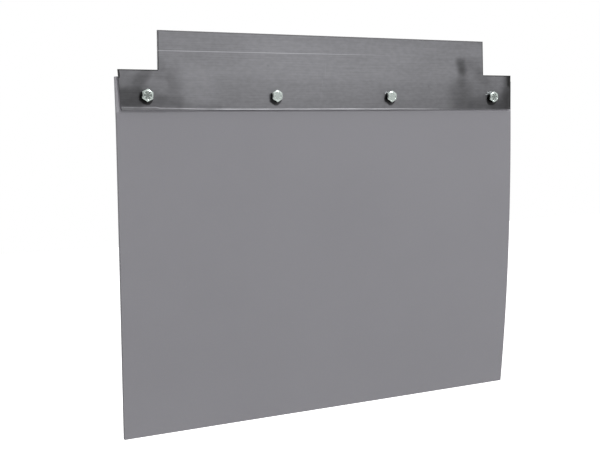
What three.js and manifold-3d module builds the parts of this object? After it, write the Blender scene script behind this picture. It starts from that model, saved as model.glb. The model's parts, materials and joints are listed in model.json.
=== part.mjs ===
// A truck mud flap: a T-shaped steel hanger plate with a rubber flap clamped behind its lower band
// by four bolts through a flat backing bar. Millimetres: +X along the width, -Y the front, +Z up.
// The origin is the centre of the hanger tab's flat rear face.

import * as THREE from "three";
import { mergeVertices } from "three/addons/utils/BufferGeometryUtils.js";
import Module from "manifold-3d";

const wasm = await Module();
wasm.setup();

const { degToRad } = THREE.MathUtils;

// ---- Driving dimensions, in millimetres and degrees ----

const GAP = 0.3; // left between pieces that touch

const PLATE_WIDTH = 603.2;
const PLATE_THICKNESS = 3;
const TAB_WIDTH = 501.6;
const TAB_LEAN = 1; // how far each side of the tab leans in, up to its top
const TAB_HEIGHT = 49.4;
const BAND_HEIGHT = 50.6;
const END_SLANT_TOP = 0.4; // the band's left end runs past its nominal length at the top
const END_SLANT_BOTTOM = 2.4; // and is cut in at the bottom
const LIP_HEIGHT = 4; // the band's lower edge is flared forward, clear of the rubber
const LIP_RADIUS = 6;
const LIP_ANGLE = 22;

const FLAP_WIDTH = 609.6;
const FLAP_LENGTH = 469.9;
const FLAP_THICKNESS = 6.35;
const FLAP_OVERLAP = 41.9; // the clamped height, above the band's lower edge
const FLAP_LEAN = 23; // how far back the flap's lower edge hangs
const FLAP_BOW = 7; // how far the right edge bulges forward of straight
const FLAP_EASE = 0.05; // share of the drop over which both set in

const BAR_WIDTH = 603.2;
const BAR_HEIGHT = 38.1;
const BAR_THICKNESS = 3.2;

const BOLT_PITCH = 177.8;
const BOLT_ABOVE_EDGE = 18.4;
const BOLT_TURNS = [5, 40, 25, 30]; // where each head's first corner points
const SHANK_DIAMETER = 9.525;
const SHANK_LENGTH = 31.75;
const SHANK_CHAMFER = 1.2;
const HOLE_DIAMETER = 10.4;
const HEAD_ACROSS_FLATS = 14.29;
const HEAD_HEIGHT = 6.2;
const HEAD_FACE_HEIGHT = 0.4; // the round bearing face under the hexagon
const HEX_CHAMFER = 30; // degrees off the face

const WASHER_DIAMETER = 20.6;
const WASHER_THICKNESS = 1.65;

const NUT_HEX_HEIGHT = 8.3;
const NUT_COLLAR_HEIGHT = 3.4;
const NUT_COLLAR_DIAMETER = 13.4;
const NUT_RIM_HEIGHT = 0.6; // the slope at the collar's rolled rim
const NUT_RIM_WIDTH = 0.2; // and the flat ring left at its end
const INSERT_DIAMETER = 12;
const INSERT_HEIGHT = 2;
const INSERT_BORE = 10.2;
const COLLAR_MOUTH = 11.2; // the rim rolled in over the insert

const ROUND = 32; // facets round a small cylinder
const ARC_STEPS = 6; // facets in a sheet's bend
const PANEL_COLUMNS = 12;
const PANEL_ROWS = 20;
const PAST = 1; // how far a cutting body runs past what it cuts
const MERGE_DISTANCE = 1e-4;

// ---- Places worked out from them ----

const bandTop = -TAB_HEIGHT / 2;
const bandBottom = bandTop - BAND_HEIGHT;
const plateFront = -PLATE_THICKNESS;
const flapFront = GAP;
const flapRear = flapFront + FLAP_THICKNESS;
const flapMiddle = (flapFront + flapRear) / 2;
const barFront = flapRear + GAP;
const barRear = barFront + BAR_THICKNESS;
const washerFront = barRear + GAP;
const nutFront = washerFront + WASHER_THICKNESS + GAP;
const nutRear = nutFront + NUT_HEX_HEIGHT + NUT_COLLAR_HEIGHT;
const boltZ = bandBottom + BOLT_ABOVE_EDGE;

// The flap flexes about a line just below the clamp. The hanging panel's upper edge is a half round
// on that line, so that it turns without touching the clamped strip.
const hingeZ = bandBottom - FLAP_THICKNESS / 2 - GAP;
const flapTop = bandBottom + FLAP_OVERLAP;
const flapDrop = hingeZ - (flapTop - FLAP_LENGTH);

// ---- Geometry helpers ----

// A shape drawn in (y, z), extruded along X from one place to another.
function extrudeAlongX(shape, fromX, toX, steps = 1) {
  const geometry = new THREE.ExtrudeGeometry(shape, { depth: toX - fromX, steps, bevelEnabled: false });
  const turn = new THREE.Matrix4().makeBasis(
    new THREE.Vector3(0, 1, 0),
    new THREE.Vector3(0, 0, 1),
    new THREE.Vector3(1, 0, 0),
  );
  return geometry.applyMatrix4(turn).translate(fromX, 0, 0);
}

// A shape drawn in (x, z), extruded along Y from its rear face forwards.
function extrudeForwards(shape, rearY, frontY) {
  const geometry = new THREE.ExtrudeGeometry(shape, { depth: rearY - frontY, bevelEnabled: false });
  return geometry.rotateX(Math.PI / 2).translate(0, rearY, 0);
}

// A solid of revolution about the Y axis, from (radius, y) points.
function turned(points, segments = ROUND) {
  return new THREE.LatheGeometry(points.map(([r, y]) => new THREE.Vector2(r, y)), segments);
}

// A ring about the Y axis, with its near face at nearY.
function ring(outerDiameter, innerDiameter, nearY, thickness) {
  const outer = outerDiameter / 2;
  const inner = innerDiameter / 2;
  const farY = nearY + thickness;
  return turned([[inner, nearY], [outer, nearY], [outer, farY], [inner, farY], [inner, nearY]]);
}

function rodAt(x, z, diameter, nearY, farY) {
  const rod = new THREE.CylinderGeometry(diameter / 2, diameter / 2, farY - nearY, ROUND);
  return rod.translate(x, (nearY + farY) / 2, z);
}

function toSolid(geometry) {
  const bare = geometry.index ? geometry.toNonIndexed() : geometry.clone();
  bare.deleteAttribute("normal");
  bare.deleteAttribute("uv");
  const merged = mergeVertices(bare, MERGE_DISTANCE);
  const mesh = new wasm.Mesh({
    numProp: 3,
    vertProperties: new Float32Array(merged.attributes.position.array),
    triVerts: new Uint32Array(merged.index.array),
  });
  return new wasm.Manifold(mesh);
}

function toGeometry(solid) {
  const mesh = solid.getMesh();
  const geometry = new THREE.BufferGeometry();
  geometry.setAttribute("position", new THREE.BufferAttribute(mesh.vertProperties, 3));
  geometry.setIndex(new THREE.BufferAttribute(mesh.triVerts, 1));
  geometry.computeVertexNormals();
  return geometry;
}

// ---- Materials ----

function finish(color, roughness, metalness = 0) {
  return new THREE.MeshStandardMaterial({ color, roughness, metalness });
}

const millSteel = () => finish(0x7d7c80, 0.45, 0.9);
const zincPlate = () => finish(0xc9d0cd, 0.35, 0.9);
const greyRubber = () => finish(0x88878c, 0.85);
const nylon = () => finish(0xe6e4da, 0.5);

function part(name, geometry, material) {
  const mesh = new THREE.Mesh(geometry, material);
  mesh.name = name;
  return mesh;
}

// ---- Sub-parts ----

function boltPlaces() {
  return BOLT_TURNS.map((turn, index) => ({
    number: index + 1,
    x: (index - (BOLT_TURNS.length - 1) / 2) * BOLT_PITCH,
    turn: degToRad(turn),
  }));
}

function drilled(solid, nearY, farY) {
  return boltPlaces().reduce(
    (body, { x }) => body.subtract(toSolid(rodAt(x, boltZ, HOLE_DIAMETER, nearY, farY))),
    solid,
  );
}

// One side of the flared lip, from the flat band round the bend and straight on to the lower edge.
function lipSide(radius) {
  const bend = degToRad(LIP_ANGLE);
  const centreY = -PLATE_THICKNESS / 2 - LIP_RADIUS;
  const centreZ = bandBottom + LIP_HEIGHT;
  const points = [];
  for (let step = 0; step <= ARC_STEPS; step += 1) {
    const angle = (bend * step) / ARC_STEPS;
    points.push([centreY + radius * Math.cos(angle), centreZ - radius * Math.sin(angle)]);
  }
  const [lastY, lastZ] = points[points.length - 1];
  points.push([lastY - (lastZ - bandBottom) * Math.tan(bend), bandBottom]);
  return points;
}

// The band's section in (y, z): straight down from its upper edge, with the lip curving forward.
function bandSection() {
  const rear = lipSide(LIP_RADIUS + PLATE_THICKNESS / 2);
  const front = lipSide(LIP_RADIUS - PLATE_THICKNESS / 2).reverse();
  const points = [[plateFront, bandTop], [0, bandTop], ...rear, ...front];
  return new THREE.Shape(points.map(([y, z]) => new THREE.Vector2(y, z)));
}

// The band's outline from the front, drawn past its long edges so that only its ends cut.
function bandOutline() {
  const half = PLATE_WIDTH / 2;
  const slope = (END_SLANT_TOP + END_SLANT_BOTTOM) / BAND_HEIGHT;
  const past = LIP_HEIGHT;
  return new THREE.Shape([
    new THREE.Vector2(-half + END_SLANT_BOTTOM + slope * past, bandBottom - past),
    new THREE.Vector2(half, bandBottom - past),
    new THREE.Vector2(half, bandTop + past),
    new THREE.Vector2(-half - END_SLANT_TOP - slope * past, bandTop + past),
  ]);
}

// The tab's outline, which runs a little way into the band so that the two join as one sheet.
function tabOutline() {
  const top = TAB_HEIGHT / 2;
  const bottom = bandTop - PLATE_THICKNESS;
  const halfAt = (z) => TAB_WIDTH / 2 - (TAB_LEAN * (z - bandTop)) / TAB_HEIGHT;
  return new THREE.Shape([
    new THREE.Vector2(-halfAt(bottom), bottom),
    new THREE.Vector2(halfAt(bottom), bottom),
    new THREE.Vector2(halfAt(top), top),
    new THREE.Vector2(-halfAt(top), top),
  ]);
}

function slab(width, nearY, farY, bottomZ, topZ) {
  const box = new THREE.BoxGeometry(width, farY - nearY, topZ - bottomZ);
  return toSolid(box.translate(0, (nearY + farY) / 2, (bottomZ + topZ) / 2));
}

function hangerPlate() {
  const folded = toSolid(extrudeAlongX(bandSection(), -PLATE_WIDTH, PLATE_WIDTH));
  const outline = toSolid(extrudeForwards(bandOutline(), PAST, plateFront - LIP_HEIGHT));
  const tab = toSolid(extrudeForwards(tabOutline(), 0, plateFront));
  const solid = drilled(folded.intersect(outline).add(tab), plateFront - PAST, PAST);
  return part("hanger_plate", toGeometry(solid), millSteel());
}

function clampedStrip() {
  const strip = slab(FLAP_WIDTH, flapFront, flapRear, bandBottom, flapTop);
  const solid = drilled(strip, flapFront - PAST, flapRear + PAST);
  return part("flap_clamped_strip", toGeometry(solid), greyRubber());
}

// How far back the hanging flap's middle lies, at a share of its width and of its drop. The clamp
// holds its upper end upright, so both the lean and the right edge's bow set in gradually.
function flapSet(across, down) {
  const lean = FLAP_LEAN * down;
  const bow = FLAP_BOW * across * 4 * down * (1 - down);
  return ((lean - bow) * down * (1 + FLAP_EASE)) / (down + FLAP_EASE);
}

function panelSection() {
  const radius = FLAP_THICKNESS / 2;
  const level = (row) => -(flapDrop * row) / PANEL_ROWS;
  const shape = new THREE.Shape();
  shape.moveTo(radius, 0);
  shape.absarc(0, 0, radius, 0, Math.PI, false);
  for (let row = 1; row <= PANEL_ROWS; row += 1) {
    shape.lineTo(-radius, level(row));
  }
  for (let row = PANEL_ROWS; row > 0; row -= 1) {
    shape.lineTo(radius, level(row));
  }
  shape.closePath();
  return shape;
}

function flapPanel() {
  const half = FLAP_WIDTH / 2;
  const geometry = extrudeAlongX(panelSection(), -half, half, PANEL_COLUMNS);
  const position = geometry.attributes.position;
  for (let i = 0; i < position.count; i += 1) {
    const across = position.getX(i) / FLAP_WIDTH + 0.5;
    const down = Math.max(0, -position.getZ(i) / flapDrop);
    position.setY(i, position.getY(i) + flapSet(across, down));
  }
  geometry.translate(0, flapMiddle, hingeZ);
  return part("flap_panel", geometry, greyRubber());
}

function clampBar() {
  const bar = slab(BAR_WIDTH, barFront, barRear, boltZ - BAR_HEIGHT / 2, boltZ + BAR_HEIGHT / 2);
  const solid = drilled(bar, barFront - PAST, barRear + PAST);
  return part("rear_clamp_bar", toGeometry(solid), millSteel());
}

// A hexagonal prism along Y with one corner turned to the given angle.
function hexagon(acrossFlats, nearY, farY, turn) {
  const radius = acrossFlats / 2 / Math.cos(Math.PI / 6);
  const prism = new THREE.CylinderGeometry(radius, radius, farY - nearY, 6);
  prism.rotateY(Math.PI / 2 - turn).translate(0, (nearY + farY) / 2, 0);
  return toSolid(prism);
}

// The turned blank that takes a hexagon's corners off at its outer end.
function chamferBlank(acrossFlats, chamferedY, plainY) {
  const flat = acrossFlats / 2;
  const wide = acrossFlats;
  const shoulder = chamferedY + (wide - flat) * Math.tan(degToRad(HEX_CHAMFER));
  const profile = [[0, chamferedY], [flat, chamferedY], [wide, shoulder], [wide, plainY], [0, plainY]];
  return toSolid(turned(profile));
}

function hexBolt({ number, x, turn }) {
  const seat = plateFront - GAP;
  const hexRear = seat - HEAD_FACE_HEIGHT;
  const headFront = seat - HEAD_HEIGHT;
  const tip = seat + SHANK_LENGTH;
  const radius = SHANK_DIAMETER / 2;
  const inside = headFront + HEAD_HEIGHT / 2;
  const bearing = HEAD_ACROSS_FLATS / 2 - HEAD_FACE_HEIGHT;
  const head = hexagon(HEAD_ACROSS_FLATS, headFront, hexRear, turn).intersect(
    chamferBlank(HEAD_ACROSS_FLATS, headFront, seat),
  );
  const shank = turned([
    [0, inside],
    [bearing, inside],
    [bearing, seat],
    [radius, seat],
    [radius, tip - SHANK_CHAMFER],
    [radius - SHANK_CHAMFER, tip],
    [0, tip],
  ]);
  const geometry = toGeometry(head.add(toSolid(shank))).translate(x, 0, boltZ);
  return part(`hex_bolt_${number}`, geometry, zincPlate());
}

function washer({ number, x }) {
  const geometry = ring(WASHER_DIAMETER, HOLE_DIAMETER, washerFront, WASHER_THICKNESS);
  return part(`rear_washer_${number}`, geometry.translate(x, 0, boltZ), zincPlate());
}

// The insert sits in the collar, with a gap all round, under the rolled-in rim.
const insertFront = nutRear - NUT_COLLAR_HEIGHT + GAP;

function lockNut({ number, x, turn }) {
  const hexRear = nutFront + NUT_HEX_HEIGHT;
  const inside = nutFront + NUT_HEX_HEIGHT / 2;
  const bore = HOLE_DIAMETER / 2;
  const collar = NUT_COLLAR_DIAMETER / 2;
  const pocket = INSERT_DIAMETER / 2 + GAP;
  const pocketFront = insertFront - GAP;
  const pocketRear = insertFront + INSERT_HEIGHT + GAP;
  const mouth = COLLAR_MOUTH / 2;
  const hex = hexagon(HEAD_ACROSS_FLATS, nutFront, hexRear, turn).intersect(
    chamferBlank(HEAD_ACROSS_FLATS, nutFront, nutRear),
  );
  const neck = turned([
    [0, inside],
    [collar, inside],
    [collar, nutRear - NUT_RIM_HEIGHT],
    [mouth + NUT_RIM_WIDTH, nutRear],
    [0, nutRear],
  ]);
  const hollow = turned([
    [0, nutFront - PAST],
    [bore, nutFront - PAST],
    [bore, pocketFront],
    [pocket, pocketFront],
    [pocket, pocketRear],
    [mouth, pocketRear],
    [mouth, nutRear + PAST],
    [0, nutRear + PAST],
  ]);
  const solid = hex.add(toSolid(neck)).subtract(toSolid(hollow));
  return part(`lock_nut_${number}`, toGeometry(solid).translate(x, 0, boltZ), zincPlate());
}

function nylonInsert({ number, x }) {
  const geometry = ring(INSERT_DIAMETER, INSERT_BORE, insertFront, INSERT_HEIGHT);
  return part(`nylon_insert_${number}`, geometry.translate(x, 0, boltZ), nylon());
}

// ---- Assembly ----

const mudFlap = new THREE.Group();
mudFlap.add(hangerPlate(), clampedStrip(), flapPanel(), clampBar());
for (const place of boltPlaces()) {
  mudFlap.add(hexBolt(place), washer(place), lockNut(place), nylonInsert(place));
}

export default mudFlap;
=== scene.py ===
"""The looks of a truck mud flap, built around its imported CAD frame.

Metres, in the CAD's own frame: +X along the flap's width, -Y the front with the bolt heads,
+Z up, and the origin at the centre of the hanger tab's rear face.
"""

import json
import math

import bpy
from mathutils import Matrix, Vector, noise

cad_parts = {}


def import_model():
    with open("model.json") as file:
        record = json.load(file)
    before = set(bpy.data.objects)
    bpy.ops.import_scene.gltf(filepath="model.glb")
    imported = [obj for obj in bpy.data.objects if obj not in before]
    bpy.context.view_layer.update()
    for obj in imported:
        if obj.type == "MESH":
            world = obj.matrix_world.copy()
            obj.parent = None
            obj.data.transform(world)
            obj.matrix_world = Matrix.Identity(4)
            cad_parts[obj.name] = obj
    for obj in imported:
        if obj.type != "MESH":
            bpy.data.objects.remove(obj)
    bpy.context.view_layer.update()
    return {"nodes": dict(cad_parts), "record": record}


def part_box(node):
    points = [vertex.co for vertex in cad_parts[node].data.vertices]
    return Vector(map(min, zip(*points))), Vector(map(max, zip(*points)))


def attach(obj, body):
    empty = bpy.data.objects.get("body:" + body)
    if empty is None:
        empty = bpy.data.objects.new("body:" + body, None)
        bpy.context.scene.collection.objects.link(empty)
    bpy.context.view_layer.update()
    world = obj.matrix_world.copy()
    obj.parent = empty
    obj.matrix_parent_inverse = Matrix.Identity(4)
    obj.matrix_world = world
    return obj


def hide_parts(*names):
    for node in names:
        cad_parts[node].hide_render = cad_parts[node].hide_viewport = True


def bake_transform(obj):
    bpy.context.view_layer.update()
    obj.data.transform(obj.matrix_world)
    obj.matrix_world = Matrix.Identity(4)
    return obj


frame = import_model()

MM = 0.001
BOLT_NUMBERS = range(1, 5)

# ---- Sizes that the frame gives ----

plate_low, plate_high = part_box("hanger_plate")
strip_low, strip_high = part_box("flap_clamped_strip")
flap_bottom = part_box("flap_panel")[0][2]
hinge = Vector(frame["record"]["behaviour"]["joints"][0]["pos_m"])
tab_rear = frame["record"]["mounts"][0]["pos_m"][1]
tab_front = frame["record"]["mounts"][1]["pos_m"][1]
tab_top = plate_high[2]
band_bottom = plate_low[2]
plate_left = plate_low[0]
plate_right = plate_high[0]
bolt_boxes = [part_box(f"hex_bolt_{number}") for number in BOLT_NUMBERS]
bolt_places = [((low[0] + high[0]) / 2, (low[2] + high[2]) / 2) for low, high in bolt_boxes]

# ---- Sizes that only the looks need ----

TAB_WIDTH = 501.6 * MM  # at its foot
TAB_HEIGHT = 49.4 * MM
TAB_LEAN = 1 * MM  # how far each side of the tab leans in, up to its top
END_SLANT = 2.8 * MM  # how far the band's left end leans in, from its top to its bottom
PLATE_WAVE = 0.12 * MM
PLATE_ROUNDING = 0.45 * MM

LIP_HEIGHT = 4 * MM
LIP_RADIUS = 6 * MM
LIP_ANGLE = math.radians(22)
LIP_BENT_SHARE = 0.7  # of the lip, from the band down; the rest is straight
LIP_WAVE = 0.4 * MM  # how unevenly the lip was bent
LIP_ANGLE_WAVE = 0.25  # the same for its angle, as a share
SHORTER_LIP = 0.45  # the share of its height that the lip loses
SHORTER_LIP_SPAN = (-255 * MM, -180 * MM)  # where along x it loses it
FLATTER_LIP = 0.85  # the share of its angle that the lip loses
FLATTER_LIP_SPAN = (110 * MM, 190 * MM)

FLAP_LEAN = 23 * MM  # how far back the flap's lower edge hangs
FLAP_BOW = 7 * MM  # how far its right edge bulges forward
FLAP_EASE = 0.05  # the share of its drop over which both set in
FLAP_WAVE = 0.5 * MM
FLAP_WAVE_START = 0.125  # the share of its drop over which the waves set in
FLAP_ROUNDING = 0.6 * MM

# How close the unevenness is, as noise cells per metre, and which part of the noise it takes.
PLATE_WAVES = (9, 16)  # across and down
PLATE_WAVE_LAYER = 1.3
FLAP_WAVES = (4.5, 5.5)
FLAP_WAVE_LAYER = 7.7
LIP_WAVES = 22
LIP_WAVE_ROW = 3.7
LIP_ANGLE_WAVES = 15
LIP_ANGLE_WAVE_ROW = 9.1

BAR_ROUNDING = 0.4 * MM
ROUNDING_SEGMENTS = 2
ROUNDED_FROM = math.radians(35)  # the least angle of an edge that is rounded
SHEET_SHARP = 32  # degrees from which an edge is shaded sharp
FASTENER_SHARP = 28
RING_SHARP = 50
HOLE_DIAMETER = 10.4 * MM
DRILL_REACH = 10 * MM  # how far a hole's cutter stands out at each end

# The cells of the sheets' meshes.
END_COLUMNS = 8
TAB_COLUMNS = 96
TAB_ROWS = 10
BAND_ROWS = 12
LIP_ROWS = 10
FLAP_COLUMNS = 76
CLAMPED_ROWS = 10
HANGING_ROWS = 84

# The steps round the turned meshes.
HOLE_STEPS = 48
HEX_STEPS = 96
RING_STEPS = 64

band_top = tab_top - TAB_HEIGHT


# ---- Mesh helpers ----


def make_object(name, points, faces):
    """A mesh object in the scene."""
    mesh = bpy.data.meshes.new(name)
    mesh.from_pydata([tuple(point) for point in points], [], faces)
    mesh.update()
    made = bpy.data.objects.new(name, mesh)
    bpy.context.scene.collection.objects.link(made)
    return made


def settle(obj):
    """Turns an object's modifiers into its own mesh."""
    shown = obj.evaluated_get(bpy.context.evaluated_depsgraph_get())
    settled = bpy.data.meshes.new_from_object(shown)
    obj.modifiers.clear()
    obj.data = settled


def smooth(obj, sharp_degrees):
    """Shades an object smoothly, but for the edges that are sharper than an angle."""
    obj.data.polygons.foreach_set("use_smooth", [True] * len(obj.data.polygons))
    obj.data.set_sharp_from_angle(angle=math.radians(sharp_degrees))


def round_edges(obj, width):
    """Adds a small rounding to the sharp edges, with the flat faces kept flat in shading."""
    bevel = obj.modifiers.new("edges", "BEVEL")
    bevel.width = width
    bevel.segments = ROUNDING_SEGMENTS
    bevel.limit_method = "ANGLE"
    bevel.angle_limit = ROUNDED_FROM
    flat = obj.modifiers.new("normals", "WEIGHTED_NORMAL")
    flat.keep_sharp = True


def coat(obj, finish):
    """Gives an object one material, in place of any that it has."""
    obj.data.materials.clear()
    obj.data.materials.append(finish)


def spaced(start, end, count):
    """count + 1 places from start to end."""
    return [start + (end - start) * step / count for step in range(count + 1)]


def smooth_step(value, start, end):
    """0 up to start and 1 from end, with a smooth rise between them."""
    share = min(1, max(0, (value - start) / (end - start)))
    return share * share * (3 - 2 * share)


def waves(x, z, per_metre, layer):
    """Smooth noise over a sheet, from about -1 to 1."""
    return noise.noise(Vector((x * per_metre[0], z * per_metre[1], layer)))


def waves_along(x, per_metre, row):
    """Smooth noise along a line, from about -1 to 1."""
    return noise.noise(Vector((x * per_metre, row, 0)))


def shell(name, columns, rows, place, kept=lambda column, row: True):
    """A closed sheet with a front and a rear skin. place(column, row, side) gives a point, with side 0
    for the front and 1 for the rear, and kept says which cells of the grid are material."""
    cells = {(c, r) for c in range(columns) for r in range(rows) if kept(c, r)}
    corners = sorted({(c + i, r + j) for c, r in cells for i in (0, 1) for j in (0, 1)})
    index = {corner: i for i, corner in enumerate(corners)}
    count = len(corners)
    points = [place(c, r, side) for side in (0, 1) for c, r in corners]
    faces = []
    for c, r in sorted(cells):
        ring = [(c, r), (c, r + 1), (c + 1, r + 1), (c + 1, r)]
        faces.append([index[corner] for corner in ring])
        faces.append([index[corner] + count for corner in reversed(ring)])
        beyond = [(c - 1, r), (c, r + 1), (c + 1, r), (c, r - 1)]
        for k, neighbour in enumerate(beyond):
            if neighbour not in cells:
                a = index[ring[k]]
                b = index[ring[(k + 1) % 4]]
                faces.append([b, a, a + count, b + count])
    return make_object(name, points, faces)


def turned(name, profile, steps, axis_at):
    """A body about an axis along Y through axis_at = (x, z). profile(angle) gives (radius, y) points,
    from the axis or round a closed loop; a first and last radius of zero close it on the axis."""
    angles = [2 * math.pi * step / steps for step in range(steps)]
    loops = [profile(angle) for angle in angles]
    count = len(loops[0])
    capped = loops[0][0][0] == 0
    x, z = axis_at
    points = []
    for angle, loop in zip(angles, loops):
        for radius, y in loop:
            points.append((x + radius * math.cos(angle), y, z + radius * math.sin(angle)))
    faces = []
    for step in range(steps):
        near = step * count
        far = (step + 1) % steps * count
        for k in range(count - 1 if capped else count):
            m = (k + 1) % count
            if capped and k == 0:
                faces.append([0, near + 1, far + 1])
            elif capped and k == count - 2:
                faces.append([near + k, count - 1, far + k])
            else:
                faces.append([near + k, near + m, far + m, far + k])
    body = make_object(name, points, faces)
    remove_loose(body)
    return body


def remove_loose(obj):
    """Deletes the points that no face uses."""
    mesh = obj.data
    used = sorted({v for polygon in mesh.polygons for v in polygon.vertices})
    renumbered = {v: i for i, v in enumerate(used)}
    points = [mesh.vertices[v].co.copy() for v in used]
    faces = [[renumbered[v] for v in polygon.vertices] for polygon in mesh.polygons]
    mesh.clear_geometry()
    mesh.from_pydata([tuple(point) for point in points], [], faces)
    mesh.update()


def drill(obj, front, rear):
    """Cuts the four bolt holes through a sheet."""
    radius = HOLE_DIAMETER / 2
    near = front - DRILL_REACH
    far = rear + DRILL_REACH
    ends = [(0, near), (radius, near), (radius, far), (0, far)]
    for number, place in zip(BOLT_NUMBERS, bolt_places):
        cutter = turned(f"cutter_{number}", lambda angle: ends, HOLE_STEPS, place)
        cut = obj.modifiers.new("hole", "BOOLEAN")
        cut.operation = "DIFFERENCE"
        cut.solver = "EXACT"
        cut.object = cutter
        settle(obj)
        bpy.data.objects.remove(cutter)


# ---- Steel hanger plate ----


def lip_point(x, share, side):
    """The (y, z) of a point on the flared lip, at a share of the way from the flat band to the lower
    edge. The lip is full at the left end, shorter along the middle and nearly flat at the right."""
    height = LIP_HEIGHT * (1 - SHORTER_LIP * smooth_step(x, *SHORTER_LIP_SPAN))
    uneven_angle = LIP_ANGLE_WAVE * waves_along(x, LIP_ANGLE_WAVES, LIP_ANGLE_WAVE_ROW)
    angle = LIP_ANGLE * (1 + uneven_angle)
    angle *= 1 - FLATTER_LIP * smooth_step(x, *FLATTER_LIP_SPAN)
    start = band_bottom + height + LIP_WAVE * waves_along(x, LIP_WAVES, LIP_WAVE_ROW)
    half = (tab_rear - tab_front) / 2
    centre_y = tab_front + half - LIP_RADIUS
    radius = LIP_RADIUS + (half if side else -half)
    bent = min(share / LIP_BENT_SHARE, 1) * angle
    y = centre_y + radius * math.cos(bent)
    z = start - radius * math.sin(bent)
    straight = max(0, (share - LIP_BENT_SHARE) / (1 - LIP_BENT_SHARE))
    drop = (z - band_bottom) * straight
    return y - drop * math.tan(angle), z - drop


def hanger_plate():
    """The T-shaped plate: a tab above a wider band, and the lip along the band's lower edge."""
    tab_half = TAB_WIDTH / 2
    left = spaced(plate_left, -tab_half, END_COLUMNS)
    middle = spaced(-tab_half, tab_half, TAB_COLUMNS)
    right = spaced(tab_half, plate_right, END_COLUMNS)
    across = left + middle[1:] + right[1:]
    tab_rows = spaced(tab_top, band_top, TAB_ROWS)
    band_rows = spaced(band_top, band_bottom + LIP_HEIGHT + LIP_WAVE, BAND_ROWS)
    rows = tab_rows + band_rows[1:]
    lip_start = len(rows) - 1
    lip_shares = spaced(0, 1, LIP_ROWS)

    def place(column, row, side):
        x = across[column]
        if row < lip_start:
            y, z = (tab_rear if side else tab_front), rows[row]
        else:
            y, z = lip_point(x, lip_shares[row - lip_start], side)
        down = (band_top - z) / (band_top - band_bottom)
        outward = max(0, (-tab_half - x) / (-tab_half - plate_left))
        x += END_SLANT * max(0, down) * outward
        x *= 1 - TAB_LEAN / tab_half * max(0, (z - band_top) / TAB_HEIGHT)
        y += PLATE_WAVE * waves(x, z, PLATE_WAVES, PLATE_WAVE_LAYER)
        return Vector((x, y, z))

    def kept(column, row):
        inside = abs(across[column] + across[column + 1]) / 2 < tab_half
        return inside or row >= TAB_ROWS

    plate = shell("hanger_plate_sheet", len(across) - 1, lip_start + LIP_ROWS, place, kept)
    drill(plate, tab_front, tab_rear)
    smooth(plate, SHEET_SHARP)
    round_edges(plate, PLATE_ROUNDING)
    settle(plate)
    coat(plate, mill_steel())
    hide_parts("hanger_plate")
    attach(plate, "hanger")


def clamp_bar():
    """The bar behind the rubber keeps its CAD shape and gets rounded edges and its finish."""
    bar = frame["nodes"]["rear_clamp_bar"]
    round_edges(bar, BAR_ROUNDING)
    coat(bar, mill_steel())


# ---- Rubber flap ----


def flap_set(across, down):
    """How far back the hanging flap lies, at a share of its width and of its drop. The bow is greatest
    about half way down its right edge."""
    lean = FLAP_LEAN * down
    bow = FLAP_BOW * across * 4 * down * (1 - down)
    return (lean - bow) * down * (1 + FLAP_EASE) / (down + FLAP_EASE)


def rubber_flap():
    """The whole rubber sheet: the strip that is clamped, and the panel that hangs and bends."""
    across = spaced(strip_low[0], strip_high[0], FLAP_COLUMNS)
    clamped = spaced(strip_high[2], hinge.z, CLAMPED_ROWS)
    hanging = spaced(hinge.z, flap_bottom, HANGING_ROWS)
    rows = clamped + hanging[1:]
    front, rear = strip_low[1], strip_high[1]
    drop = hinge.z - flap_bottom

    def place(column, row, side):
        x, z = across[column], rows[row]
        share = (x - across[0]) / (across[-1] - across[0])
        down = max(0, (hinge.z - z) / drop)
        ripple = FLAP_WAVE * waves(x, z, FLAP_WAVES, FLAP_WAVE_LAYER)
        y = flap_set(share, down) + ripple * min(1, down / FLAP_WAVE_START)
        return Vector((x, y + (rear if side else front), z))

    flap = shell("rubber_flap", len(across) - 1, len(rows) - 1, place)
    drill(flap, front, rear)
    smooth(flap, SHEET_SHARP)
    round_edges(flap, FLAP_ROUNDING)
    settle(flap)
    coat(flap, grey_rubber())
    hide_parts("flap_clamped_strip", "flap_panel")
    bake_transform(flap)


# ---- Fasteners ----

BOLT_TURNS = [26, 31, 28, 30]  # degrees that each bolt and its nut are turned
HEX_FLATS = 14.29 * MM
SIXTH_TURN = math.radians(60)
BOLT_FACE = 0.9  # the width of the round face on a bolt head, as a share of its width across flats
NUT_FACE = 0.95
CHAMFER = math.tan(math.radians(30))

FACE_ROUNDING = 0.15 * MM  # how far a bolt head's face falls towards its rim
BEARING_HEIGHT = 0.4 * MM  # of the round bearing face under a bolt head
BEARING_TAPER = 0.1 * MM  # how much narrower it gets towards the plate
DISH_RADIUS = 5 * MM  # the hollow in a bolt head's face
DISH_DEPTH = 0.35 * MM
DISH_RINGS = 14
DISH_EDGE = 0.05 * MM  # how far the face falls towards the hollow
MARK_START = 2.4 * MM  # from the head's middle to the inner end of its radial marks
MARK_SPREAD = math.radians(17)
MARK_HEIGHT = 0.3 * MM

SHANK_DIAMETER = 9.525 * MM
THREAD_LENGTH = 9 * MM
THREAD_PITCH = 1.5875 * MM
THREAD_DEPTH = 0.85 * MM
THREAD_STEPS = 68
GROOVE_SLOPE = 2.6  # how fast the groove deepens, away from the middle of the thread's crest
GROOVE_START = 0.15
POINT_LENGTH = 1.1 * MM  # of the taper at the bolt's tip
TIP_STEP = 0.1 * MM  # from the thread's last ring to the flat tip

SEAT_GAP = 0.15 * MM  # how far a washer or nut reaches into the gap that the CAD leaves before it
WASHER_EDGE = 0.35 * MM
EDGE_MIDDLE = 0.3  # how far in the middle of a rounded edge lies, as a share of the edge's size

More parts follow.
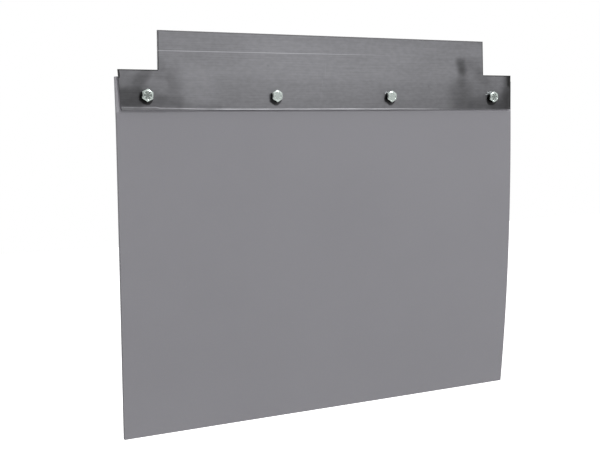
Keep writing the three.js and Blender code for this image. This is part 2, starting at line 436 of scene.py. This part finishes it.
NUT_HEX_HEIGHT = 8.3 * MM
NUT_BORE = 9.8 * MM
NUT_COLLAR = 13.2 * MM
NUT_MOUTH = 11.2 * MM
NUT_ROLL = 1.3 * MM  # the radius of the collar's rolled end
NUT_ROLL_STEPS = 6
NUT_LEAD = 0.5 * MM  # the countersink of the bore
NUT_SHOULDER = 0.25 * MM  # from the hexagon's end to the foot of the collar
NUT_GROOVE = 0.5 * MM  # how much wider than the mouth the nylon's groove is
NUT_GROOVE_SPAN = (0.7 * MM, 3.4 * MM)  # from the nut's outer end
NUT_STEP = 0.1 * MM  # the slope of the groove's two sides

NYLON_BORE = 9.3 * MM
NYLON_EDGE = 0.3 * MM
NYLON_MOUTH = (0.6 * MM, 0.45 * MM)  # the width and depth of the rounding where the bolt comes out
NYLON_MOUTH_MIDDLE = (0.18 * MM, 0.12 * MM)
NYLON_RISE = 0.2 * MM  # how far the ring stands out of its CAD shape


def hex_radius(angle, turn):
    """The distance from a hexagon's middle to its side, in a direction."""
    off = (angle - turn) % SIXTH_TURN - SIXTH_TURN / 2
    return HEX_FLATS / 2 / math.cos(off)


def grade_mark(radius, angle, turn):
    """How far a bolt head's face is raised: six ribs that widen outwards."""
    off = (angle - turn + SIXTH_TURN / 2) % SIXTH_TURN - SIXTH_TURN / 2
    return MARK_HEIGHT if radius > MARK_START and abs(off) < MARK_SPREAD / 2 else 0


def thread(angle, start, tip):
    """The (radius, y) points of a bolt's thread and tapered tip, in a direction."""
    points = []
    for y in spaced(start, tip - TIP_STEP, THREAD_STEPS):
        turns = (y - start) / THREAD_PITCH
        phase = (turns - angle / (2 * math.pi)) % 1
        groove = min(1, max(0, abs(phase - 0.5) * GROOVE_SLOPE - GROOVE_START))
        taper = 1 - min(1, (tip - y) / POINT_LENGTH)
        depth = THREAD_DEPTH * max(groove * min(1, turns), taper)
        points.append((SHANK_DIAMETER / 2 - depth, y))
    return points


def hex_bolt(number):
    """A hexagon bolt with a hollow, ribbed face, and a thread where its end stands out."""
    low, high = bolt_boxes[number - 1]
    turn = math.radians(BOLT_TURNS[number - 1])
    front, tip = low[1], high[1]
    hex_rear = tab_front - BEARING_HEIGHT
    face = HEX_FLATS / 2 * BOLT_FACE
    shank = SHANK_DIAMETER / 2
    thread_start = tip - THREAD_LENGTH

    def profile(angle):
        corner = hex_radius(angle, turn)
        rim = front + FACE_ROUNDING
        rings = spaced(0, DISH_RADIUS, DISH_RINGS)
        points = [(r, front + DISH_DEPTH - grade_mark(r, angle, turn)) for r in rings]
        points += [
            (DISH_RADIUS + DISH_DEPTH, front + DISH_EDGE),
            (DISH_RADIUS + 2 * DISH_DEPTH, front),
            (face, rim),
            (corner, rim + (corner - face) * CHAMFER),
            (corner, hex_rear),
            (face, hex_rear),
            (face - BEARING_TAPER, tab_front),
            (shank, tab_front),
            (shank, thread_start),
        ]
        return points + thread(angle, thread_start, tip) + [(0, tip)]

    bolt = turned(f"hex_bolt_{number}_detail", profile, HEX_STEPS, bolt_places[number - 1])
    smooth(bolt, FASTENER_SHARP)
    finish_fastener(bolt, f"hex_bolt_{number}")


def washer(number):
    """A flat washer with rounded edges."""
    low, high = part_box(f"rear_washer_{number}")
    outer = (high[0] - low[0]) / 2
    inner = HOLE_DIAMETER / 2
    near, far = low[1] - SEAT_GAP, high[1]
    edge = WASHER_EDGE
    middle = edge * EDGE_MIDDLE
    loop = [
        (inner, near + edge / 2),
        (inner + edge / 2, near),
        (outer - edge / 2, near),
        (outer, near + edge / 2),
        (outer, far - edge),
        (outer - middle, far - middle),
        (outer - edge, far),
        (inner + edge, far),
        (inner + middle, far - middle),
        (inner, far - edge),
    ]
    place = bolt_places[number - 1]
    ring = turned(f"rear_washer_{number}_detail", lambda angle: loop, RING_STEPS, place)
    smooth(ring, RING_SHARP)
    finish_fastener(ring, f"rear_washer_{number}")


def lock_nut(number):
    """A hexagon nut with a round collar, rolled over at its end to hold the nylon ring."""
    low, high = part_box(f"lock_nut_{number}")
    turn = math.radians(BOLT_TURNS[number - 1])
    near, far = low[1] - SEAT_GAP, high[1]
    hex_far = near + NUT_HEX_HEIGHT
    bore = NUT_BORE / 2
    collar = NUT_COLLAR / 2
    mouth = NUT_MOUTH / 2
    face = HEX_FLATS / 2 * NUT_FACE
    groove_far, groove_near = (far - depth for depth in NUT_GROOVE_SPAN)

    def profile(angle):
        corner = hex_radius(angle, turn)
        cut = (corner - face) * CHAMFER
        loop = [
            (bore + NUT_LEAD, near),
            (face, near),
            (corner, near + cut),
            (corner, hex_far - cut),
            (face, hex_far),
            (collar, hex_far + NUT_SHOULDER),
            (collar, far - NUT_ROLL),
        ]
        for bend in spaced(0, math.pi / 2, NUT_ROLL_STEPS)[1:]:
            inward = NUT_ROLL * (1 - math.cos(bend))
            loop.append((collar - inward, far - NUT_ROLL * (1 - math.sin(bend))))
        loop += [
            (mouth, far),
            (mouth, groove_far),
            (mouth + NUT_GROOVE, groove_far - NUT_STEP),
            (mouth + NUT_GROOVE, groove_near),
            (bore, groove_near - NUT_STEP),
            (bore, near + NUT_LEAD),
        ]
        return loop

    nut = turned(f"lock_nut_{number}_detail", profile, HEX_STEPS, bolt_places[number - 1])
    smooth(nut, FASTENER_SHARP)
    finish_fastener(nut, f"lock_nut_{number}")


def nylon_insert(number):
    """The ring in a lock nut."""
    low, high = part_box(f"nylon_insert_{number}")
    inner = NYLON_BORE / 2
    outer = (high[0] - low[0]) / 2
    near, far = low[1], high[1] + NYLON_RISE
    edge = NYLON_EDGE
    loop = [
        (inner, near + edge),
        (inner + edge, near),
        (outer, near),
        (outer, far - edge),
        (outer - edge, far),
        (inner + NYLON_MOUTH[0], far),
        (inner + NYLON_MOUTH_MIDDLE[0], far - NYLON_MOUTH_MIDDLE[1]),
        (inner, far - NYLON_MOUTH[1]),
    ]
    place = bolt_places[number - 1]
    ring = turned(f"nylon_insert_{number}_detail", lambda angle: loop, RING_STEPS, place)
    smooth(ring, RING_SHARP)
    coat(ring, nylon())
    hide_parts(f"nylon_insert_{number}")
    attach(ring, "hanger")


def finish_fastener(obj, node):
    """Zinc plates a fastener and puts it in its node's place on the hanger."""
    coat(obj, zinc_plate())
    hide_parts(node)
    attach(obj, "hanger")


# ---- Materials ----

DISPLAY_GAMMA = 2.2
NOISE_RANGE = (0.3, 0.7)  # which noise seldom leaves

# Noise, as its stretch per axis, its features per metre, its detail and an offset.
EVEN = (1, 1, 1)
STAIN_AND_SHADE_NOISE = (EVEN, 90, 3, 1.7)
BRUSH_NOISE = ((0.02, 1, 1), 700, 3)
CLOUD_NOISE = ((1, 1, 1.6), 14, 4, 2.3)
MOTTLE_NOISE = ((0.5, 1, 1), 260, 3, 4.4)
CREST_NOISE = ((1, 0.01, 0.01), 30, 3, 8.2)
RUBBER_NOISE = (EVEN, 1600, 3)
PATCH_NOISE = (EVEN, 7, 3, 5.1)
SPECK_NOISE = (EVEN, 420, 1, 6.3)
ZINC_NOISE = (EVEN, 1500, 3)
NYLON_NOISE = (EVEN, 900, 2)

# Bumps, as their strength and distance.
BRUSH_BUMP = (0.12, 0.05 * MM)
RUBBER_BUMP = (0.25, 0.1 * MM)
FINE_BUMP = (0.1, 0.05 * MM)


def srgb(red, green, blue):
    """A colour given from 0 to 255, as linear values with alpha."""

    def linear(value):
        share = value / 255
        return share / 12.92 if share <= 0.04045 else ((share + 0.055) / 1.055) ** 2.4

    return (linear(red), linear(green), linear(blue), 1)


class Graph:
    """A material's node tree, with short calls to add nodes to it."""

    def __init__(self, name):
        self.material = bpy.data.materials.new(name)
        self.material.use_nodes = True
        self.tree = self.material.node_tree
        self.shader = self.tree.nodes["Principled BSDF"]
        self.place = self.add("ShaderNodeTexCoord").outputs["Object"]

    def add(self, kind, inputs=None, **settings):
        """Adds a node with its inputs and its settings."""
        made = self.tree.nodes.new(kind)
        for key, value in settings.items():
            setattr(made, key, value)
        self.feed(made, inputs or {})
        return made

    def feed(self, node, inputs):
        """Sets a node's inputs by name or number, or links them where the value is a socket."""
        for key, value in inputs.items():
            if isinstance(value, bpy.types.NodeSocket):
                self.tree.links.new(value, node.inputs[key])
            else:
                node.inputs[key].default_value = value

    def math(self, operation, *values):
        return self.add("ShaderNodeMath", dict(enumerate(values)), operation=operation).outputs[0]

    def vector(self, operation, inputs):
        """The outputs of a vector math node."""
        return self.add("ShaderNodeVectorMath", inputs, operation=operation).outputs

    def joined(self, operation, values):
        """Several values joined by one operation, such as ADD."""
        result = values[0]
        for value in values[1:]:
            result = self.math(operation, result, value)
        return result

    def total(self, *values):
        return self.joined("ADD", values)

    def product(self, *values):
        return self.joined("MULTIPLY", values)

    def minus(self, value, taken):
        return self.math("SUBTRACT", value, taken)

    def unsigned(self, value):
        return self.math("ABSOLUTE", value)

    def between(self, share, first, second):
        """The value at a share of the way from one value to another."""
        return self.total(first, self.product(share, self.minus(second, first)))

    def ramp(self, value, low, high, to_low=0.0, to_high=1.0):
        """A smooth step of a value from one range to another."""
        node = self.add(
            "ShaderNodeMapRange",
            {"Value": value, "From Min": low, "From Max": high, "To Min": to_low, "To Max": to_high},
            interpolation_type="SMOOTHSTEP",
        )
        return node.outputs[0]

    def fade(self, away, core, reach, depth=1):
        """A shade that is full up to a core distance and gone at its reach."""
        return self.ramp(away, core, reach, depth, 0)

    def swing(self, grain, amount):
        """Noise turned into a shade from minus to plus an amount."""
        return self.ramp(grain, *NOISE_RANGE, -amount, amount)

    def noise(self, stretch, scale, detail, offset=0):
        """Noise from 0 to 1, with features of about 1/scale metres, stretched by a factor per axis."""
        mapped = self.add(
            "ShaderNodeMapping",
            {"Vector": self.place, "Scale": stretch, "Location": (offset, offset, offset)},
        ).outputs[0]
        node = self.add("ShaderNodeTexNoise", {"Vector": mapped, "Scale": scale, "Detail": detail})
        return node.outputs["Fac"]

    def mix(self, share, first, second):
        """The colour at a share of the way from one colour to another."""
        node = self.add("ShaderNodeMix", data_type="RGBA")
        self.feed(node, {0: share, 6: first, 7: second})
        return node.outputs[2]

    def scale_colour(self, colour, factor):
        linked = isinstance(colour, bpy.types.NodeSocket)
        return self.vector("SCALE", {0: colour if linked else colour[:3], "Scale": factor})[0]

    def millimetres(self):
        """The place on the object, as its x, y and z in millimetres."""
        scaled = self.vector("SCALE", {0: self.place, "Scale": 1 / MM})[0]
        return self.add("ShaderNodeSeparateXYZ", {0: scaled}).outputs

    def from_stroke(self, place, start, end):
        """The distance from a straight stroke between two (x, z) places."""
        first = Vector((start[0], 0, start[1]))
        along = Vector((end[0], 0, end[1])) - first
        offset = self.vector("SUBTRACT", {0: place, 1: first})[0]
        projection = {0: offset, 1: along / along.length_squared}
        share = self.vector("DOT_PRODUCT", projection)["Value"]
        kept_share = self.add("ShaderNodeClamp", {0: share}).outputs[0]
        nearest = self.vector("SCALE", {0: along, "Scale": kept_share})[0]
        return self.vector("DISTANCE", {0: offset, 1: nearest})["Value"]

    def bump(self, height, strength, distance):
        node = self.add("ShaderNodeBump", {"Height": height, "Strength": strength, "Distance": distance})
        self.feed(self.shader, {"Normal": node.outputs[0]})


made_materials = {}


def material(make):
    """Makes a material the first time that it is asked for, and gives the same one after that."""

    def once():
        if make.__name__ not in made_materials:
            made_materials[make.__name__] = make()
        return made_materials[make.__name__]

    return once


# ---- Steel ----

# Places and distances in the values below are in millimetres, and the depth of a shade is the share
# of the displayed level that it takes away.

STEEL_COLOUR = srgb(135, 135, 139)
STEEL_METALLIC = 0.3
STEEL_ROUGHNESS = (0.4, 0.48)
BRUSH_SHADE = (0.25, 0.75, -0.028, 0.028)  # from noise to level
MOTTLE_SHADE = 0.025
CLOUD_SHADE = 0.012
FRONT_DEPTH = (0.3, 1)  # how far behind the plate's front its stains, painted shades and painted highlights fade out
STAIN_AND_SHADE_WANDER = 5  # how far the noise moves the outlines of the stains and painted shades
BOLT_SHADOW_OFFSET = (-1, -3)  # of the painted shadow at the lower left of each bolt head, from the bolt
BOLT_SHADOW_SPOT = (6.8, 9, 0.55)  # its core, reach and depth

# Painted shade and dark reflection that deepen one way, as (from, to, depth before, depth after).
LOWER_SHADE = (24, 50, 0, 0.065)  # down the plate
LIP_SHADE = (54, 66, 0, 0.03)
ENDS_SHADE = (60, 210, 0, 0.025)  # out from the middle
RIGHT_SHADE = (-60, 160, 0, 0.03)  # along x

# Painted shade and dark reflection towards the plate's ends that deepen two ways, as (x from, x to,
# depth, down from, down to).
CORNER_SHADES = [
    (196, 222, 0.07, -6, 4),
    (-208, -232, 0.10, 14, 30),
    (286, 299, 0.12, 10, 20),
]

# The plate's marks: soft strokes on its front as (start, end, core, reach, depth), with places as (x,
# z), most of them painted shade and dark reflection and a few of them stains. A stroke is full up to its
# core distance and gone at its reach, and a depth below zero brightens, as painted light or as a bright
# scratch.
STAIN_AND_SHADE_STROKES = [
    ((209, -8), (213, -16), 0, 13, 0.30),
    ((214, -22), (212, -34), 0, 13, 0.12),
    ((208, -49), (211, -74), 4, 30, 0.15),
    ((218, -5), (244, -18), 2, 9, 0.045),
    ((238, -70), (268, -68), 4, 20, 0.14),
    ((276, -68), (300, -62), 6, 22, 0.15),
    ((298, -26), (289, -74), 2, 14, 0.18),
    ((300, -24), (300, -36), 1, 8, 0.45),
    ((-301, -24), (-301, -34), 0.8, 2, 0.6),
    ((-222, -71), (-172, -70), 1, 9, 0.06),
    ((-235, 0), (-150, 0), 8, 30, 0.035),
    ((244, -26), (256, -33), 2, 13, 0.08),
    ((-208, -34), (-192, -56), 8, 34, -0.05),
    ((-248, 24), (248, 24), 3, 14, 0.035),
    ((-236, -34), (-233, -42), 2, 9, 0.04),
    ((-256, -42), (-246, -46), 3, 13, -0.09),
    ((-266, -26), (-278, -42), 3, 11, 0.13),
    ((-300, -60), (-278, -60), 7, 17, 0.25),
    ((-256, -70), (-226, -66), 2, 14, 0.05),
    ((-262, -58), (-246, -58), 2, 12, 0.05),
    ((-247, -14), (-246, -22), 2, 8, 0.07),
    ((-100, -17), (-99, -17), 0, 3, 0.07),
    ((154, -42), (154, -43), 0, 3, 0.06),
    # Fine bright scratches.
    ((-13, -13), (-14, -30), 0, 0.8, -0.05),
    ((-19, -34), (-20, -58), 0, 0.8, -0.035),
    ((-27, -22), (-26, -33), 0, 0.7, -0.03),
    ((6, -36), (44, -37), 0, 0.7, -0.03),
    ((-64, -44), (-30, -43), 0, 0.7, -0.03),
    ((118, -52), (150, -51), 0, 0.7, -0.03),
]

# Dark lines along the plate's cut outline, partly dark scale and partly painted dark reflection, as
# (core, reach, depth) from the edge inwards.
TAB_SIDE_LINE = (0.9, 1.8, 0.34)
TAB_TOP_LINE = (0.8, 2, 0.17)
BAND_TOP_LINE = (0.9, 1.6, 0.55)
BAND_END_LINE = (1, 1.7, 0.6)

# The fine bright line across the tab, a painted highlight.
TAB_HIGHLIGHT_HEIGHT = 0.4
TAB_HIGHLIGHT_SLOPE = 0.005
TAB_HIGHLIGHT_LINE = (0.25, 0.6, 0.75)
TAB_HIGHLIGHT_END = (-60, 130)  # along x, where it fades out

# The painted highlight along the lip's crest.
CREST_START = (-256, -248, -71.4, -73.2)  # between two places along x, its height before and after
CREST_DROP = (-210, -150, 0, -1)  # a further change of its height
CREST_LINE = (0.4, 0.9)
CREST_BREAKUP = (0.35, 0.6, 0.2, 0.7)  # from noise to brightness, breaking the painted highlight up
CREST_LEFT = (-270, -200, 0.55, 1)  # along x, how its brightness rises
CREST_END = (60, 140)  # along x, where it fades out


def plate_shade_and_stains(graph, x, down, front):
    """How much the plate's colour is darkened, as a share of its displayed level: painted shade and dark
    reflection, painted shadows round the bolt heads, and a few stains and bright scratches.
    """
    ripple = graph.noise(*STAIN_AND_SHADE_NOISE)
    wander = graph.product(graph.minus(ripple, 0.5), STAIN_AND_SHADE_WANDER)
    moved = {0: graph.total(x, wander), 2: graph.minus(wander, down)}
    place = graph.add("ShaderNodeCombineXYZ", moved).outputs[0]
    shades = [
        graph.ramp(down, *LOWER_SHADE),
        graph.ramp(down, *LIP_SHADE),
        graph.ramp(graph.unsigned(x), *ENDS_SHADE),
        graph.ramp(x, *RIGHT_SHADE),
    ]
    for x_from, x_to, depth, down_from, down_to in CORNER_SHADES:
        sideways = graph.ramp(x, x_from, x_to, 0, depth)
        shades.append(graph.product(sideways, graph.ramp(down, down_from, down_to)))
    # Painted shadow at the lower left of each bolt head.
    for bolt_x, bolt_z in bolt_places:
        heart = (bolt_x / MM + BOLT_SHADOW_OFFSET[0], bolt_z / MM + BOLT_SHADOW_OFFSET[1])
        away = graph.from_stroke(place, heart, (heart[0] + 1, heart[1] - 1))
        shades.append(graph.fade(away, *BOLT_SHADOW_SPOT))
    for start, end, core, reach, depth in STAIN_AND_SHADE_STROKES:
        away = graph.from_stroke(place, start, end)
        shades.append(graph.fade(away, core, reach, depth))
    return graph.product(graph.total(*shades), front)


def plate_edges(graph, x, down, front):
    """Dark lines along the plate's cut outline, partly the cut edges' own dark scale and partly painted
    dark reflection along their rounding.
    """
    side = graph.unsigned(x)
    tab_half = TAB_WIDTH / 2 / MM
    below_top = graph.total(down, tab_top / MM)
    below_band_top = graph.total(down, band_top / MM)
    on_tab = graph.math("LESS_THAN", below_band_top, 0)
    beside_tab = graph.math("GREATER_THAN", side, tab_half)
    lean = graph.ramp(down, -tab_top / MM, -band_top / MM, TAB_LEAN / MM, 0)
    inward = graph.minus(graph.minus(tab_half, lean), side)
    tab_side = graph.fade(inward, *TAB_SIDE_LINE)
    tab_upper = graph.fade(below_top, *TAB_TOP_LINE)
    band_upper = graph.product(graph.fade(below_band_top, *BAND_TOP_LINE), beside_tab)
    band_end = graph.fade(graph.minus(plate_right / MM, x), *BAND_END_LINE)
    tab_lines = graph.math("MAXIMUM", tab_side, tab_upper)
    band_lines = graph.math("MAXIMUM", band_end, band_upper)
    return graph.product(graph.between(on_tab, band_lines, tab_lines), front)


def tab_line_highlight(graph, x, z):
    """The brightness of the painted highlight along the fine line across the tab, which fades out to the
    right.
    """
    height = graph.total(TAB_HIGHLIGHT_HEIGHT, graph.product(x, TAB_HIGHLIGHT_SLOPE))
    away = graph.unsigned(graph.minus(z, height))
    return graph.product(graph.fade(away, *TAB_HIGHLIGHT_LINE), graph.fade(x, *TAB_HIGHLIGHT_END))


def lip_highlight(graph, x, z):
    """The brightness of the painted highlight along the crest of the lip, uneven, and gone at the right.
    """
    crest = graph.total(graph.ramp(x, *CREST_START), graph.ramp(x, *CREST_DROP))
    away = graph.unsigned(graph.minus(z, crest))
    breakup = graph.noise(*CREST_NOISE)
    return graph.product(
        graph.ramp(breakup, *CREST_BREAKUP),
        graph.fade(x, *CREST_END),
        graph.ramp(x, *CREST_LEFT),
        graph.fade(away, *CREST_LINE),
    )


@material
def mill_steel():
    graph = Graph("mill_steel")
    x, y, z = graph.millimetres()
    down = graph.product(z, -1)
    front = graph.fade(graph.minus(y, tab_front / MM), *FRONT_DEPTH)
    # Painted shade, dark reflection and stains, with the dark lines along the cut outline.
    shade = graph.total(plate_shade_and_stains(graph, x, down, front), plate_edges(graph, x, down, front))
    brushed = graph.noise(*BRUSH_NOISE)
    clouds = graph.noise(*CLOUD_NOISE)
    mottle = graph.noise(*MOTTLE_NOISE)
    grain = graph.total(
        graph.ramp(brushed, *BRUSH_SHADE),
        graph.swing(mottle, MOTTLE_SHADE),
        graph.swing(clouds, CLOUD_SHADE),
    )
    level = graph.total(graph.minus(1, shade), grain)
    tone = graph.math("POWER", level, DISPLAY_GAMMA)
    # Painted highlights: the line across the tab and the crest of the lip.
    painted_highlights = graph.total(tab_line_highlight(graph, x, z), lip_highlight(graph, x, z))
    tone = graph.total(tone, graph.product(painted_highlights, front))
    graph.feed(graph.shader, {
        "Base Color": graph.scale_colour(STEEL_COLOUR, tone),
        "Metallic": STEEL_METALLIC,
        "Roughness": graph.ramp(clouds, *NOISE_RANGE, *STEEL_ROUGHNESS),
    })
    graph.bump(brushed, *BRUSH_BUMP)
    return graph.material


# ---- Rubber ----

RUBBER_COLOUR = srgb(144, 143, 148)
RUBBER_ROUGHNESS = 0.78
RUBBER_SPECULAR = 0.3
RUBBER_LEVEL_AND_TOP_LIGHT = (-420, -100, 1.02, 1.03)  # the rubber's level between two heights in millimetres, below and above them, lifted towards the top as painted light
UNDER_PLATE_LIGHT = (1, 4, 0.15)  # painted light that lifts the shade just below the plate: its core and reach in millimetres, and its extra level
RUBBER_GRAIN = 0.012
RUBBER_PATCHES = 0.006
RUBBER_SPECKS = (0.72, 0.8, 0, 0.03)  # from noise to level


@material
def grey_rubber():
    graph = Graph("grey_rubber")
    z = graph.millimetres()[2]
    grain = graph.noise(*RUBBER_NOISE)
    # The rubber's own level and grain, with painted light towards the top and just below the plate.
    level = graph.total(
        graph.ramp(z, *RUBBER_LEVEL_AND_TOP_LIGHT),
        graph.fade(graph.minus(band_bottom / MM, z), *UNDER_PLATE_LIGHT),
        graph.swing(graph.noise(*PATCH_NOISE), RUBBER_PATCHES),
        graph.swing(grain, RUBBER_GRAIN),
        graph.ramp(graph.noise(*SPECK_NOISE), *RUBBER_SPECKS),
    )
    tone = graph.math("POWER", level, DISPLAY_GAMMA)
    graph.feed(graph.shader, {
        "Base Color": graph.scale_colour(RUBBER_COLOUR, tone),
        "Roughness": RUBBER_ROUGHNESS,
        "Specular IOR Level": RUBBER_SPECULAR,
    })
    graph.bump(grain, *RUBBER_BUMP)
    return graph.material


# ---- Zinc plate ----

# Places and distances in the values below are in millimetres.

ZINC_DARK = srgb(190, 201, 196)
ZINC_LIGHT = srgb(208, 215, 211)
ZINC_ROUGHNESS = (0.16, 0.24)
RIM_TONE = 1.3  # of all zinc but the hollows, the shanks and the shaded flanks
HOLLOW_SHADE_TONES = (1.05, 0.5)  # painted shade of hollows and shanks, on an inner and on an outer bolt
OUTER_BOLTS = (150, 200)  # from the middle, between the inner and the outer bolts
HOLLOW_DEPTH = (0.1, 0.3)  # behind a bolt head's face
HOLLOW_MARGIN = 0.3  # over which the hollow's tone fades out, beyond its radius
FLANK_SHADE_TONE = 0.15  # painted shade and dark reflection on a bolt head's flanks, on their lower left side
SHADED_SIDE = (-0.8, 0, -0.6)  # towards the left and down
SHADED_FACING = (-0.2, 0.4)  # how much a flank's normal points to that side
FLANK_START = (0.8, 1.6)  # behind a bolt head's face
FLANK_END = (0.1, 0.5)  # behind the plate's front


def zinc_shade(graph):
    """How bright the zinc is: full on the rims and marks of the bolt heads and on the nuts and washers,
    with painted shade in the hollows and on the shanks, deepest on the outer two bolts, and painted
    shade and dark reflection on the flanks of the heads on their lower left side."""
    x, y, z = graph.millimetres()
    first_x, first_z = bolt_places[0]
    pitch = bolt_places[1][0] - first_x
    beside = graph.math("PINGPONG", graph.minus(x, first_x / MM), pitch / 2 / MM)
    above = graph.minus(z, first_z / MM)
    offset = graph.add("ShaderNodeCombineXYZ", {0: beside, 2: above}).outputs[0]
    radius = graph.vector("LENGTH", {0: offset})["Value"]
    hollow_radius = DISH_RADIUS / MM
    behind_face = graph.minus(y, bolt_boxes[0][0][1] / MM)
    behind_plate = graph.minus(y, tab_front / MM)
    hollow_tone = graph.ramp(graph.unsigned(x), *OUTER_BOLTS, *HOLLOW_SHADE_TONES)
    # Painted shade in the hollows and on the shanks.
    hollow = graph.product(
        graph.ramp(behind_face, *HOLLOW_DEPTH),
        graph.fade(radius, hollow_radius, hollow_radius + HOLLOW_MARGIN),
    )
    tone = graph.between(hollow, RIM_TONE, hollow_tone)
    normal = graph.add("ShaderNodeNewGeometry").outputs["Normal"]
    facing = graph.vector("DOT_PRODUCT", {0: normal, 1: SHADED_SIDE})["Value"]
    # Painted shade and dark reflection on the flanks' lower left side.
    flank = graph.product(
        graph.ramp(behind_face, *FLANK_START),
        graph.fade(behind_plate, *FLANK_END),
        graph.ramp(facing, *SHADED_FACING),
    )
    return graph.between(flank, tone, FLANK_SHADE_TONE)


@material
def zinc_plate():
    graph = Graph("zinc_plate")
    grain = graph.noise(*ZINC_NOISE)
    colour = graph.mix(grain, ZINC_DARK, ZINC_LIGHT)
    graph.feed(graph.shader, {
        "Base Color": graph.scale_colour(colour, zinc_shade(graph)),
        "Metallic": 1.0,
        "Roughness": graph.ramp(grain, *NOISE_RANGE, *ZINC_ROUGHNESS),
    })
    graph.bump(grain, *FINE_BUMP)
    return graph.material


# ---- Nylon ----

NYLON_DARK = srgb(228, 226, 214)
NYLON_LIGHT = srgb(238, 236, 226)
NYLON_ROUGHNESS = 0.42


@material
def nylon():
    graph = Graph("nylon")
    grain = graph.noise(*NYLON_NOISE)
    colour = graph.mix(grain, NYLON_DARK, NYLON_LIGHT)
    graph.feed(graph.shader, {"Base Color": colour, "Roughness": NYLON_ROUGHNESS})
    graph.bump(grain, *FINE_BUMP)
    return graph.material


# ---- Stage ----

CAMERA_PLACE = Vector((-590.6, -1127, -119)) * MM
CAMERA_YAW = 25.39  # degrees towards +X
CAMERA_PITCH = 5.57  # degrees down
CAMERA_ROLL = -1.12
CAMERA_LENS = 54.62
SENSOR_WIDTH = 36
CLIP_START = 0.01
FLOOR_LEVEL = -1.6
FLOOR_HALF = 12
FLOOR_COLOUR = srgb(246, 246, 246)
FLOOR_ROUGHNESS = 0.9
SKY_DIRECTION = (0.4, -0.8, 0.4)  # towards its brightest part
SKY_RANGE = (-0.4, 0.85)  # of the cosine to that direction
SKY_STRENGTH = (0.12, 0.7)
DARK_DIRECTION = (-0.5, -0.82, -0.2)  # towards its dark side
DARK_RANGE = (0.6, 0.95)
DARK_STRENGTH = (1, 0.2)
LIGHT_AIM = (0, 0, -0.1)


def camera():
    """The camera at the front left of the flap, level with its upper part."""
    data = bpy.data.cameras.new("camera")
    data.lens = CAMERA_LENS
    data.sensor_width = SENSOR_WIDTH
    data.clip_start = CLIP_START
    made = bpy.data.objects.new("camera", data)
    yaw = Matrix.Rotation(math.radians(-CAMERA_YAW), 4, "Z")
    pitch = Matrix.Rotation(math.radians(90 - CAMERA_PITCH), 4, "X")
    roll = Matrix.Rotation(math.radians(CAMERA_ROLL), 4, "Z")
    made.matrix_world = Matrix.Translation(CAMERA_PLACE) @ yaw @ pitch @ roll
    bpy.context.scene.collection.objects.link(made)
    bpy.context.scene.camera = made


def floor():
    """A pale floor that the camera sees as plain white."""
    corners = ((-1, -1), (1, -1), (1, 1), (-1, 1))
    points = [(x * FLOOR_HALF, y * FLOOR_HALF, FLOOR_LEVEL) for x, y in corners]
    plane = make_object("floor", points, [[0, 1, 2, 3]])
    graph = Graph("floor")
    graph.feed(graph.shader, {"Base Color": FLOOR_COLOUR, "Roughness": FLOOR_ROUGHNESS})
    seen = graph.add("ShaderNodeLightPath").outputs["Is Camera Ray"]
    graph.feed(graph.shader, {"Emission Color": (1, 1, 1, 1), "Emission Strength": seen})
    plane.data.materials.append(graph.material)


def world():
    """Soft studio light, brightest from the front, above and the right, with a dark side behind the
    camera. The background itself is seen as white."""
    made = bpy.data.worlds.new("studio")
    made.use_nodes = True
    tree = made.node_tree
    background = tree.nodes["Background"]
    background.inputs["Color"].default_value = (1, 1, 1, 1)
    place = tree.nodes.new("ShaderNodeTexCoord").outputs["Generated"]

    def toward(direction, start, end, low, high):
        """A smooth step of the strength, along a direction."""
        dot = tree.nodes.new("ShaderNodeVectorMath")
        dot.operation = "DOT_PRODUCT"
        dot.inputs[1].default_value = Vector(direction).normalized()
        tree.links.new(place, dot.inputs[0])
        step = tree.nodes.new("ShaderNodeMapRange")
        step.interpolation_type = "SMOOTHSTEP"
        tree.links.new(dot.outputs["Value"], step.inputs["Value"])
        for name, value in {"From Min": start, "From Max": end, "To Min": low, "To Max": high}.items():
            step.inputs[name].default_value = value
        return step.outputs[0]

    strength = tree.nodes.new("ShaderNodeMath")
    strength.operation = "MULTIPLY"
    tree.links.new(toward(SKY_DIRECTION, *SKY_RANGE, *SKY_STRENGTH), strength.inputs[0])
    tree.links.new(toward(DARK_DIRECTION, *DARK_RANGE, *DARK_STRENGTH), strength.inputs[1])
    seen = tree.nodes.new("ShaderNodeLightPath").outputs["Is Camera Ray"]
    shown = tree.nodes.new("ShaderNodeMix")
    tree.links.new(seen, shown.inputs[0])
    tree.links.new(strength.outputs[0], shown.inputs[2])
    shown.inputs[3].default_value = 1.0
    tree.links.new(shown.outputs[0], background.inputs["Strength"])
    bpy.context.scene.world = made


def light(name, place, size, power):
    """A round lamp aimed at the object."""
    data = bpy.data.lights.new(name, "AREA")
    data.shape = "DISK"
    data.size = size
    data.energy = power
    made = bpy.data.objects.new(name, data)
    made.location = place
    aim = Vector(LIGHT_AIM) - Vector(place)
    made.rotation_euler = aim.to_track_quat("-Z", "Y").to_euler()
    bpy.context.scene.collection.objects.link(made)


def view_settings():
    settings = bpy.context.scene.view_settings
    settings.view_transform = "Standard"
    settings.look = "None"


camera()
world()
floor()
light("key", place=(2.1, -4.4, 2.5), size=1.2, power=105)
light("rear", place=(-1.6, 3.2, 1.4), size=1.5, power=60)
view_settings()

hanger_plate()
rubber_flap()
clamp_bar()
for bolt_number in BOLT_NUMBERS:
    hex_bolt(bolt_number)
    washer(bolt_number)
    lock_nut(bolt_number)
    nylon_insert(bolt_number)
